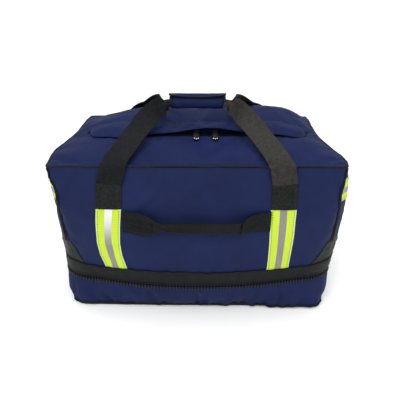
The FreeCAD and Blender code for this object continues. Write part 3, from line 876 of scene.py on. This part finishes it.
def build_top_zip():
    """The two tapes and rows of teeth of the top zip, each in a left and a right half."""
    for face, side in PLACES:
        label = "front" if face == FRONT else "rear"
        x = np.linspace(0, side * (MOUTH - 0.0005), 60)[::side]
        y = ZIP_Y + face * np.linspace(0.0012, TAPE_EDGE + 0.004, 5)[::-face]
        xx, yy = np.meshgrid(x, y, indexing="ij")
        from_zip = np.abs(yy - ZIP_Y)
        edge = np.clip((from_zip - 0.012) / 0.006, 0, 1)
        zz = ZIP_Z - 0.001 - 0.0012 * bump(from_zip, 0.007, 0.006) - 0.003 * edge
        name = "%s_%s" % (label, SIDE_NAME[side])
        tape = cloth("top_zip_tape_" + name, np.stack([xx, yy, zz], axis=-1), 0.0009)
        finish_piece(tape, TAPE_BLACK, None, [] if face == FRONT else ["zip_tape_rear"])
        path = x[:, None] * (1, 0, 0) + (0, ZIP_Y + face * 0.0003, ZIP_Z - 0.0006)
        out, across = np.tile((0.0, 0.0, 1.0), (60, 1)), np.tile((0.0, float(face), 0.0), (60, 1))
        row = teeth_row("top_teeth_" + name, path, out, across, 0.003, 0.0034, 0.0018, 0.0024)
        finish_piece(row, TEETH_BLACK, None, ["zip_teeth_" + label])
        for obj in (tape, row):
            mouth_blend(obj)


def flap_grid(rear_at):
    """The storm flap, sewn behind the zip; its free edge droops at both ends and lifts over the sliders."""
    x = np.linspace(-FLAP_HALF_LENGTH - 0.01, FLAP_HALF_LENGTH + 0.01, 151)
    v = np.linspace(0, 1, 25)
    lift = bump(x, 0.03, 0.092)
    rounding = 1 - np.clip((np.abs(x) - (FLAP_HALF_LENGTH - 0.022)) / 0.022, 0, 1) ** 2
    reach = 0.066 - 0.013 * lift + 0.0025 * np.sin(x * 31 + 0.6) + 0.0085 * bump(x, -0.165, 0.06)
    reach = 0.026 + (reach - 0.026) * np.sqrt(rounding)
    edge_z = roof_z(x, FLAP_SEWN_Y - reach) + 0.0048 + 0.013 * lift + 0.0012 * np.sin(x * 47)
    sewn_z = rear_at(x, FLAP_SEWN_Y)[:, 2] + 0.001
    y = FLAP_SEWN_Y - reach[:, None] * v
    arch = np.sin(np.pi * v**1.6) * 0.0044
    z = sewn_z[:, None] * (1 - v) + edge_z[:, None] * v + arch * (1 - 0.85 * lift)[:, None]
    return np.stack([np.broadcast_to(x[:, None], y.shape), y, z], axis=-1)


def build_flap(rear_at):
    """The storm flap in two halves, each with stitches along its seam and a rolled, stitched hem."""
    grid = flap_grid(rear_at)
    grid = settle(grid, [0, 1, -1], [], -0.4, 0.02, 0.004)
    v = np.linspace(0, 1, grid.shape[1])
    puckers = fold_noise(grid * (1, 0.3, 1), 0.0125, 83) * bump(v, 0.3, 0.3)
    waves = fold_noise(grid * (1, 0.3, 1), 0.045, 87) * smooth(v / 0.4)
    sunk = bump(v, 4 / 24, 0.035) + bump(v, 8 / 24, 0.035)
    grid = grid - grid_normals(grid) * (0.0014 * puckers + 0.0018 * waves - 0.0011 * sunk)[..., None]
    for side in (LEFT, RIGHT):
        half = half_of(grid, side)[:, ::-1]
        name = "storm_flap_" + SIDE_NAME[side]
        piece = cloth(name, half, 0.0016)
        finish_piece(piece, NAVY_TOP_PAINTED_LIGHT, None, ["storm_flap"])
        up = grid_normals(half)
        rows = [
            stitch_row("row", half[:, row], up[:, row], THREAD_BLACK, **FLAP_STITCHES)
            for row in (-5, -9)
        ]
        path = half[:, 1] * 0.75 + half[:, 2] * 0.25
        rows.append(stitch_row("row", path, up[:, 1], THREAD_NAVY, **HEM_STITCHES))
        stitches = finish_piece(joined(name + "_stitches", rows), THREAD_NAVY, None)
        roll = tube(name + "_hem", half[:, 0] - up[:, 0] * 0.0008, 0.0014, 8)
        finish_piece(roll, NAVY_TOP_PAINTED_LIGHT, None)
        for obj in (piece, stitches, roll):
            mouth_blend(obj)


# ---- webbing ----
def ribbon(name, centres, across, widths, up, cup, top_at):
    """A flat strap kept off the top; across and up are directions at each centre, cup lifts its edges."""
    v = np.linspace(-0.5, 0.5, 11)
    sideways, lifted = widths[:, None] * v, cup[:, None] * (4 * v * v)
    grid = centres[:, None] + across[:, None] * sideways[..., None] + up[:, None] * lifted[..., None]
    inside = smooth((0.193 - np.abs(grid[..., 1])) / 0.012)
    grid[..., 2] += np.maximum(top_at(grid[..., 0], grid[..., 1]) + 0.0045 - grid[..., 2], 0) * inside
    return cloth(name, grid, STRAP_CLOTH)


LEAN_Z = [0.118, 0.155, 0.192, 0.229, 0.266, 0.295, 0.33]
LEAN = [0, 6.5, 9, 7, 3, 0.3, -1.5]  # mm that the front left strap leans out, by z


def strap_x(face, side, z, share):
    """x of a place across a sewn-down strap, which gets a little wider towards its top."""
    lean = np.interp(z, LEAN_Z, LEAN) / 1000 if (face, side) == (FRONT, LEFT) else 0.0
    width = WEBBING + 0.0032 * smooth((z - 0.125) / 0.13)
    return side * (STRAP_X + lean) + share * width * -face


def build_anchors(skin):
    """Box-X patches: each carry strap's sewn-down end, with its reflective tape below."""
    z = np.linspace(PATCH_BOTTOM_Z, PATCH_TOP_Z, 25)
    from_middle = np.abs(np.linspace(-1, 1, 17))[:, None]
    on_cross = np.exp(-((np.abs(from_middle - np.abs(np.linspace(-1, 1, 25))) / 0.12) ** 2))
    sunk = np.maximum(on_cross * 0.0015, 0.0007 * (from_middle > 0.8))
    for (face, side), name in PLACES.items():
        x = strap_x(face, side, z, np.linspace(-0.5, 0.5, 17)[:, None])
        grid = skin.at(u_at_x(x, z, face), z, 0.0032 - sunk)
        patch = cloth(name + "_boxx", grid, STRAP_CLOTH)
        finish_piece(patch, WEBBING_QUILTED, "bag_body", [name + "_anchor"])
        rings = [grid[[k, -1 - k, -1 - k, k, k], [k, k, -1 - k, -1 - k, k]] for k in (1, 2)]
        lines = rings + [grid[[1, -2], [1, -2]], grid[[1, -2], [-2, 1]]]
        out = grid_normals(grid).mean(axis=(0, 1))
        paths = [resampled(line, 0.004) + out * 0.0004 for line in lines]
        threads = [stitch_row("row", path, out, THREAD_BOX, **BOX_STITCHES) for path in paths]
        child_of(finish_piece(joined(name + "_boxx_stitches", threads), THREAD_BOX), patch)
        build_reflective(skin, name, face, side)


# A reflective tape from edge to edge: shares of its width, and the look of each band between two of them.
TAPE_CUTS = np.array([0.0, 0.03, 0.19, 0.355, 0.5, 0.645, 0.81, 0.97, 1.0])
TAPE_BANDS = [0, 1, 1, 2, 2, 1, 1, 0]


def reflective_tape(name, grid, silver, node):
    """Pale edges, two lime stripes and a silver one between them, with stitches on each lime stripe."""
    piece = cloth(name, grid, TAPE_CLOTH)
    for made in (PALE, LIME, silver):
        piece.data.materials.append(made)
    count, nv = len(TAPE_CUTS), grid.shape[1]
    for polygon in piece.data.polygons:
        columns = sorted({v % (count * nv) // nv for v in polygon.vertices})
        polygon.material_index = TAPE_BANDS[columns[0]] if len(columns) > 1 else 0
    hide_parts(node)
    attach(piece, "bag_body")
    out = grid_normals(grid)
    threads = []
    for a, share in ((1, 0.3), (6, 0.7)):
        path = grid[a] * (1 - share) + grid[a + 1] * share + out[a] * 0.0001
        threads.append(stitch_row("row", path, out[a], THREAD_DARK_ON_TAPE, **TAPE_STITCHES))
    child_of(finish_piece(joined(name + "_stitches", threads), THREAD_DARK_ON_TAPE), piece)


def build_reflective(skin, name, face, side):
    z = np.linspace(KNEE_Z + 0.0006, PATCH_BOTTOM_Z - 0.0004, 45)
    x = strap_x(face, side, z, (TAPE_CUTS - 0.5)[:, None])
    lift = SEWN_ON + 0.0004 * fold_noise(np.stack([x, z + 0 * x, 0 * x], axis=-1), 0.02, 91)
    silver = SILVER
    # The front left tape gets the silver with the painted highlight.
    if (face, side) == (FRONT, LEFT):
        silver = SILVER_PAINTED_HIGHLIGHT
        lift = lift + 0.0012 * bump(z, 0.186, 0.004)
    grid = skin.at(u_at_x(x, z, face), z, lift)
    reflective_tape(name + "_reflective", grid, silver, name + "_reflective_tape")


def build_end_tapes(skin):
    z = 0.28 + 0.05 * TAPE_CUTS
    share = np.linspace(0, 1, 110)
    for side in (LEFT, RIGHT):
        first = corner_line(END_START[side], z)[:, None] + 0.05
        last = corner_line(END_START[side] + 2, z)[:, None] - 0.05
        grid = skin.at(first * (1 - share) + last * share, z[:, None], SEWN_ON)[::-1]
        reflective_tape(SIDE_NAME[side] + "_end_reflective", grid, SILVER, SIDE_NAME[side] + "_end_tape")


# Each carry strap's x from its patch to the grip, and the y and z of those places, in mm.
# The first x is for the place just over the patch, which has no y and z here. All y are as on the front.
FRONT_YZ = [
    (-203.5, 350), (-201.5, 363), (-190, 372), (-166, 383), (-113, 405), (-66, 425.5),
    (-38, 437), (-26, 440.5), (-20, 443), (-15, 447), (-12, 448),
]
BACK_YZ = [
    (-203.5, 350), (-202.5, 365), (-191, 376), (-168, 390), (-130, 411), (-86, 427),
    (-44, 436.5), (-28, 439.5), (-20, 442), (-15, 446), (-12, 448),
]
BACK_X = [182, 181.5, 178.5, 171, 158, 132, 107, 89.5, 85, 80, 68, 54]
STRAP_ROUTES = {
    (FRONT, LEFT): ([176, 172.8, 170, 166.4, 155.4, 134.2, 112.5, 96.5, 88, 80, 68, 54], FRONT_YZ),
    (FRONT, RIGHT): ([179.8, 177.5, 175.5, 170.2, 160.5, 136, 110.5, 94, 87, 80, 68, 54], FRONT_YZ),
    (BACK, LEFT): (BACK_X, BACK_YZ),
    (BACK, RIGHT): (BACK_X, BACK_YZ),
}


def strap_path(skin, face, side):
    """From the patch's top, over the top seam, to the grip."""
    z = PATCH_TOP_Z - 0.002
    foot_x = float(abs(strap_x(face, side, z, 0.0)))
    foot_y = -abs(float(skin.at(u_at_x(side * foot_x, z, face), z, 0.004)[1]))
    xs, yzs = STRAP_ROUTES[face, side]
    route = [(foot_x, foot_y, z), (foot_x * 0.3 + xs[0] / 1000 * 0.7, foot_y - 0.0012, 0.335)]
    route += [(x / 1000, y / 1000, z / 1000) for x, (y, z) in zip(xs[1:], yzs)]
    return smooth_path(np.array(route) * (side, -face, 1), 150)


def square_to(directions, tangents):
    """The part of each direction that is at right angles to its tangent."""
    return unit(directions - tangents * np.sum(directions * tangents, axis=1, keepdims=True))


def build_carry_straps(skin, top_at):
    """Each strap rises off its patch, bends over the top seam and runs to the grip, where it gathers."""
    for (face, side), name in PLACES.items():
        path = strap_path(skin, face, side)
        tangent = unit(np.gradient(path, axis=0))
        run = np.linspace(0, 1, len(path))
        reach = np.abs(path[:, 0])
        share = np.clip((0.136 - reach) / 0.05 if face == FRONT else (0.122 - reach) / 0.038, 0, 1)
        twist = 0.5 * share + 0.5 * smooth(share)
        flat = square_to(np.array([-float(side), 0.0, 0.0]), tangent)
        standing = np.array([-side * 0.1, face * 0.45, -0.88])
        aim = square_to(flat * (1 - twist)[:, None] + standing * twist[:, None], tangent) * -side * face
        up = np.cross(tangent, aim)
        gather = smooth((0.082 - reach) / 0.006)
        widths = 0.0515 - 0.008 * twist - 0.027 * gather
        cup = 0.001 * np.sin(np.pi * run) - 0.003 * bump(run, 0.16, 0.05) - 0.0035 * gather
        path = path + up * (0.0016 * fold_noise(path, 0.08, 101 + face + 2 * side))[:, None]
        name += "_strap"
        strap = ribbon(name + "_webbing", path, aim, widths, up, cup, top_at)
        finish_piece(strap, WEBBING_WORN if side == RIGHT else WEBBING_BLACK, None, [name])
        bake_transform(strap)


# The haul handle by x, in mm: x, half height, middle height, half depth, distance from the wall.
HAUL = np.array([
    (-157.5, 25, 241.5, 1.6, 1.2), (-145, 25.6, 241.5, 1.8, 2), (-120, 26.6, 241, 2.4, 6.5),
    (-102, 24, 240.8, 3.4, 11.5), (-86, 15, 241.2, 4.6, 14.5), (-71, 9.5, 242, 5, 15),
    (-56, 10.8, 241.2, 5, 15), (0, 12.2, 240.2, 5.2, 14), (78, 12.5, 240.2, 5, 14.5),
    (93, 12.4, 241, 4.8, 14.5), (100, 14.5, 243, 3, 13), (113, 18.6, 244, 2.2, 9),
    (135, 22.4, 244.2, 1.8, 4), (157.5, 24, 243.8, 1.6, 1.2),
]).T / 1000
HAUL_POINTS = 36


def haul_ring(skin, x):
    """One closed section of the haul handle: a flat oval, its front gathered into folds near the ends."""
    half_z, middle_z, stand = [float(spline(HAUL[0], HAUL[row], np.array([x]))[0]) for row in (1, 2, 4)]
    depth = float(np.interp(x, HAUL[0], HAUL[3]))
    y = float(skin.at(u_at_x(x, middle_z, FRONT), middle_z)[1]) - stand - depth
    gathered = smooth((abs(x) - 0.082) / 0.012) * smooth((0.156 - abs(x)) / 0.03)
    deep, folds = (0.0034, 3.0) if x < 0 else (0.0012, 1.5)
    angle = np.linspace(0, 2 * np.pi, HAUL_POINTS, endpoint=False)
    c, s = np.cos(angle), np.sin(angle)
    z = np.sign(s) * np.abs(s) ** 0.75
    front = np.where(c > 0, deep * gathered * np.cos(z * np.pi * folds + 0.8 + x * 9) * (1 - z * z), 0)
    out = depth * np.sign(c) * np.abs(c) ** 0.6 + front
    return np.stack([np.full(HAUL_POINTS, x), y - out, middle_z + half_z * z], axis=1)


def loft(name, rings):
    """A closed solid through closed rings of points."""
    count, size = len(rings), len(rings[0])
    vertices = np.concatenate(rings)
    uvs = np.stack([vertices[:, 2], np.repeat([ring[0][0] for ring in rings], size)], axis=1)
    return new_object(name, vertices, [face[::-1] for face in ring_faces(count, size)], uvs)


def build_haul_handle(skin):
    """The front haul handle: wide sewn ends with gathered folds, and a doubled, textured middle."""
    for side in (LEFT, RIGHT):
        rings = []
        for x in np.sort(np.linspace(0.0875 if side == LEFT else 0.0935, 0.1575, 34) * side):
            ring = haul_ring(skin, x)
            lip = float(bump(x, 0.0935, 0.007)) if side == RIGHT else 0.0
            middle_z = ring[:, 2].mean()
            ring[:, 1] -= 0.0042 * lip
            ring[:, 2] = middle_z + (ring[:, 2] - middle_z) * (1 + 0.1 * lip)
            ring[:, 0] += (ring[:, 2] - ring[:, 2].mean()) * 0.22 * lip
            rings.append(ring)
        end = loft("haul_%s_end" % SIDE_NAME[side], rings)
        finish_piece(end, WEBBING_BLACK, None, ["haul_anchor_" + SIDE_NAME[side]])
        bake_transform(end)
    rings = [haul_ring(skin, x) for x in np.linspace(-0.09, 0.096, 90)]
    for ring in rings:
        ring[:, 1] -= 0.0006 + 0.0006 * math.sin(ring[0, 0] * 700)
    handle = loft("haul_grip", rings)
    finish_piece(handle, WEBBING_RIBBED, "haul_handle", ["haul_handle"])
    rings = [haul_ring(skin, x) for x in np.linspace(-0.074, 0.09, 60)]
    threads = []
    for level in (-0.6, 0.6):
        path = [
            (ring[0, 0], ring[:, 1].min() - 0.001, ring[:, 2].mean() + np.ptp(ring[:, 2]) / 2 * level)
            for ring in rings
        ]
        threads.append(stitch_row("row", path, (0.0, -1.0, 0.0), THREAD_BOX, space=0.0018))
    child_of(finish_piece(joined("haul_grip_stitches", threads), THREAD_BOX), handle)


# ---- grip ----
def grip_grid(x, sides, face):
    """Sections of one half-round grip along x, with softened ends and crumpled cloth."""
    rings = []
    for angle in np.linspace(0, 2 * np.pi, sides, endpoint=False):
        c, s = math.cos(angle), math.sin(angle)
        radius = (GRIP_RADIUS - 0.0012) * (1 - 0.2 * smooth((np.abs(x) - GRIP_HALF_LENGTH + 0.012) / 0.012))
        depth = 0.5 + 0.5 * c
        reach = math.sqrt(1 - depth * depth * 0.92) * np.sign(s) if abs(s) > 1e-6 else 0.0
        y = face * (0.0006 + radius * 0.98 * depth)
        rings.append(np.stack([x, y, GRIP_Z + radius * reach], axis=1))
    grid = np.stack(rings, axis=1)
    out = unit(grid - (x[:, None] * (1, 0, 0) + (0, face * 0.008, GRIP_Z))[:, None])
    crumple = 0.0008 * fold_noise(grid * (0.6, 1, 1), 0.02, 121 + face) - 0.0008 * ridged(grid, 0.035, 123)
    grid = grid + out * crumple[..., None]
    grid[..., 1] = face * np.maximum(grid[..., 1] * face, 0.0004)
    return grid


def build_grips():
    """Two padded half-round grips of black webbing wrapped in navy cloth, one on each handle."""
    count, sides = 41, 28
    x = np.linspace(-GRIP_HALF_LENGTH, GRIP_HALF_LENGTH, count)
    around = np.linspace(0, 2 * np.pi, sides, endpoint=False) * GRIP_RADIUS
    uvs = np.stack(np.meshgrid(x, around, indexing="ij"), axis=-1).reshape(-1, 2)
    for face in (FRONT, BACK):
        grid = grip_grid(x, sides, face)
        faces = [f if face == FRONT else f[::-1] for f in ring_faces(count, sides)]
        grip = new_object(FACE_NAME[face] + "_grip_pad", grid.reshape(-1, 3), faces, uvs)
        finish_piece(grip, NAVY, FACE_NAME[face] + "_handle", [FACE_NAME[face] + "_grip"])
        for side in (LEFT, RIGHT):
            ring = grid[np.argmin(np.abs(x - side * (GRIP_HALF_LENGTH - 0.005)))]
            path = ring.mean(axis=0) + (ring - ring.mean(axis=0)) * 1.01
            cuff = tube(PLACES[face, side] + "_cuff", path, 0.0012, 8, closed=True)
            child_of(finish_piece(cuff, PIPING_BLACK), grip)


def build_cover():
    """The wrap cover, round the back of the grip and over its top; the bound front edge sags a little."""
    x = np.linspace(-GRIP_HALF_LENGTH, GRIP_HALF_LENGTH, 61)
    radius = GRIP_RADIUS + 0.0024
    back = np.radians(np.linspace(-35, 90, 26))
    flat_y = np.linspace(0, -(GRIP_RADIUS - 0.001), 14)[1:]
    y = np.concatenate([radius * np.cos(back), flat_y])
    z = GRIP_Z + np.concatenate([radius * np.sin(back), np.full(13, radius)])
    share = np.clip(-y / (GRIP_RADIUS - 0.001), 0, 1)
    middle = (1 - (x / GRIP_HALF_LENGTH) ** 2)[:, None]
    z = z - (0.0054 * middle - 0.001) * share**2 + 0.0022 * middle * np.sin(np.pi * share)
    grid = np.stack([np.broadcast_to(x[:, None], z.shape), np.broadcast_to(y, z.shape), z], axis=-1)
    grid = grid - grid_normals(grid) * (0.0006 * fold_noise(grid, 0.025, 131))[..., None]
    grid = grid[:, ::-1]
    cover = cloth("grip_wrap", grid, 0.0018)
    finish_piece(cover, NAVY_TOP_PAINTED_LIGHT, "grip_cover", ["grip_cover"])
    edge = tube("grip_wrap_binding", grid[:, 0] + (0.0, -0.0009, -0.0006), 0.0019, 10)
    finish_piece(edge, PIPING_BLACK, "grip_cover", ["grip_cover_binding"])
    for side, column in ((LEFT, 0), (RIGHT, -1)):
        path = grid[column] - (side * 0.0009, 0, 0.0004)
        bound = tube("grip_wrap_edge_" + SIDE_NAME[side], path, 0.0015, 8)
        child_of(finish_piece(bound, PIPING_BLACK), cover)
    path = grid[:, 2] * 0.6 + grid[:, 3] * 0.4
    child_of(stitch_row("grip_wrap_stitches", path, (0.0, 0.0, 1.0), THREAD_NAVY), cover)


# ---- zip sliders ----
PIN_HEIGHT = 0.006


def transformed(obj, matrix):
    obj.data.transform(matrix)
    return obj


def offset(x, y, z):
    return Matrix.Translation((x, y, z))


def slab(half_x, half_y, corner, low, high, bevel):
    """A softened slab centred on the origin in plan."""
    vertices = []
    profile = [(low, bevel), (low + bevel * 0.3, bevel * 0.3), (low + bevel, 0.0)]
    profile += [(high - bevel, 0.0), (high - bevel * 0.3, bevel * 0.3), (high, bevel)]
    for z, inset in profile:
        for sx, sy, start in ((1, 1, 0), (-1, 1, 90), (-1, -1, 180), (1, -1, 270)):
            for step in range(6):
                a = math.radians(start + 18 * step)
                x = sx * (half_x - corner) + (corner - inset) * math.cos(a)
                y = sy * (half_y - corner) + (corner - inset) * math.sin(a)
                vertices.append((x, y, z))
    return new_object("slab", vertices, ring_faces(len(profile), 24))


def slider_piece(node, matrix):
    """A zip slider: a flared body, a bridge over its pin."""
    bridge = [
        (-0.0052, 0, 0.003), (-0.0054, 0, 0.0062), (-0.003, 0, 0.0082), (0.0, 0, 0.0086),
        (0.003, 0, 0.0082), (0.0054, 0, 0.0062), (0.0052, 0, 0.003),
    ]
    parts = [
        slab(0.0078, 0.0058, 0.0035, 0.0003, 0.0028, 0.0007),
        slab(0.006, 0.003, 0.0022, 0.0026, 0.0042, 0.0006),
        tube("bridge", smooth_path(bridge, 30), 0.0011, 8, flat=1.5),
        tube("pin", [(x, 0, PIN_HEIGHT) for x in (-0.0054, 0, 0.0054)], 0.0011, 10),
    ]
    body = transformed(joined(node + "_body", parts), matrix)
    finish_piece(body, SLIDER_BLACK, node, [node])


def pull_piece(node, matrix, bright_tips):
    """A pull: a ring on the pin and a black tab, ending in bright tips on the top zip."""
    turn = np.linspace(0, 2 * math.pi, 24, endpoint=False)
    ring = [(0.0036 * math.cos(a), 0.003 * math.sin(a) - 0.0012, PIN_HEIGHT) for a in turn]
    parts = [
        tube("ring", ring, 0.0009, 8, closed=True),
        transformed(slab(0.0068, 0.0148, 0.0042, -0.0014, 0.0014, 0.0009), offset(0, -0.0208, PIN_HEIGHT)),
        transformed(slab(0.0034, 0.007, 0.0024, 0.001, 0.0022, 0.0005), offset(0, -0.017, PIN_HEIGHT)),
    ]
    finish_piece(transformed(joined(node + "_tab", parts), matrix), PULL_BLACK, node, [node])
    if bright_tips:
        tips = [
            transformed(slab(0.0017, 0.0017, 0.0016, -0.0012, 0.0022, 0.0009), offset(x, y, PIN_HEIGHT))
            for x, y in ((-0.0042, -0.0328), (0.0, -0.0346), (0.0042, -0.0328))
        ]
        finish_piece(transformed(joined(node + "_tab_tips", tips), matrix), BRIGHT, node)


def build_sliders():
    tilt = offset(0, 0, PIN_HEIGHT) @ Matrix.Rotation(math.radians(13), 4, "X") @ offset(0, 0, -PIN_HEIGHT)
    for side, x in ((LEFT, -0.002), (RIGHT, 0.041)):
        at = offset(x, ZIP_Y, ZIP_Z + 0.0008)
        slider_piece("top_slider_" + SIDE_NAME[side], at)
        pull_piece("top_pull_" + SIDE_NAME[side], at @ tilt, True)
    stand = KNEE_PLAN[0] + 0.008 + 0.0032
    facing = Matrix(((0, 0, 1, 0), (1, 0, 0, 0), (0, 1, 0, 0), (0, 0, 0, 1)))
    for label, y in (("front", -0.012), ("rear", 0.012)):
        at = offset(stand, y, SPLIT_Z) @ facing
        slider_piece("base_slider_" + label, at)
        pull_piece("base_pull_" + label, at, False)


# ---- plain parts kept from the frame ----
def repaint(node, made):
    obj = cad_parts[node]
    if not obj.data.materials:
        obj.data.materials.append(made)
    for slot in obj.material_slots:
        slot.material = made


def dress_frame():
    repaint("lining", LINING)
    repaint("divider_floor", LINING)
    repaint("base_board", BOARD)
    repaint("base_panel", NAVY)


# ---- floor, lights and camera ----
def add_object(name, data, where, direction):
    """A light or a camera that looks along a direction."""
    obj = bpy.data.objects.new(name, data)
    bpy.context.scene.collection.objects.link(obj)
    obj.location = where
    obj.rotation_mode = "QUATERNION"
    obj.rotation_quaternion = direction.to_track_quat("-Z", "Y")
    return obj


def area_light(name, where, aim, size, power):
    data = bpy.data.lights.new(name, "AREA")
    data.shape, data.size, data.size_y = "RECTANGLE", size[0], size[1]
    data.energy = power
    add_object(name, data, where, Vector(aim) - Vector(where))


def build_stage():
    bpy.ops.mesh.primitive_plane_add(size=200, location=(0, 0, -0.0005))
    floor = bpy.context.object
    floor.name = "floor"
    floor.data.materials.append(material("floor", (0.98, 0.98, 0.98), 0.9))
    bpy.context.scene.view_settings.view_transform = "Standard"
    world = bpy.data.worlds.new("studio")
    bpy.context.scene.world = world
    world.use_nodes = True
    back = world.node_tree.nodes["Background"]
    back.inputs["Color"].default_value = (1, 1, 1, 1)
    back.inputs["Strength"].default_value = 1.04
    area_light("key", (-1.0, -1.9, 2.3), (0, 0, 0.25), (1.8, 1.4), 34)
    area_light("fill", (2.2, -1.4, 1.2), (0, 0, 0.2), (1.6, 1.6), 10)
    area_light("top", (0.1, 0.5, 2.6), (0, 0, 0.35), (1.8, 1.2), 18)


def build_camera():
    """A camera a little above the bag, looking down at its front."""
    data = bpy.data.cameras.new("camera")
    data.lens, data.sensor_width = 37.28, 36.0
    pitch, yaw = math.radians(26.41), math.radians(-0.49)
    forward = Vector((math.sin(yaw) * math.cos(pitch), math.cos(yaw) * math.cos(pitch), -math.sin(pitch)))
    bpy.context.scene.camera = add_object("camera", data, (0.014, -0.979, 0.675), forward)


# ---- assembly ----
main = main_skin()
base = base_skin()
build_walls(main)
build_seam_piping(main)
build_band(main)
build_corner_patches(main)
build_base(base)
build_base_zip(main, base)
sheets = {face: top_sheet(face) for face in (FRONT, BACK)}
build_top(sheets)
build_top_zip()
front_at, rear_at = grid_sampler(sheets[FRONT]), grid_sampler(sheets[BACK])
build_flap(rear_at)
build_anchors(main)
build_end_tapes(main)
build_carry_straps(main, lambda x, y: np.where(y < ZIP_Y, front_at(x, y)[..., 2], rear_at(x, y)[..., 2]))
build_haul_handle(main)
build_grips()
build_cover()
build_sliders()
dress_frame()
build_stage()
build_camera()
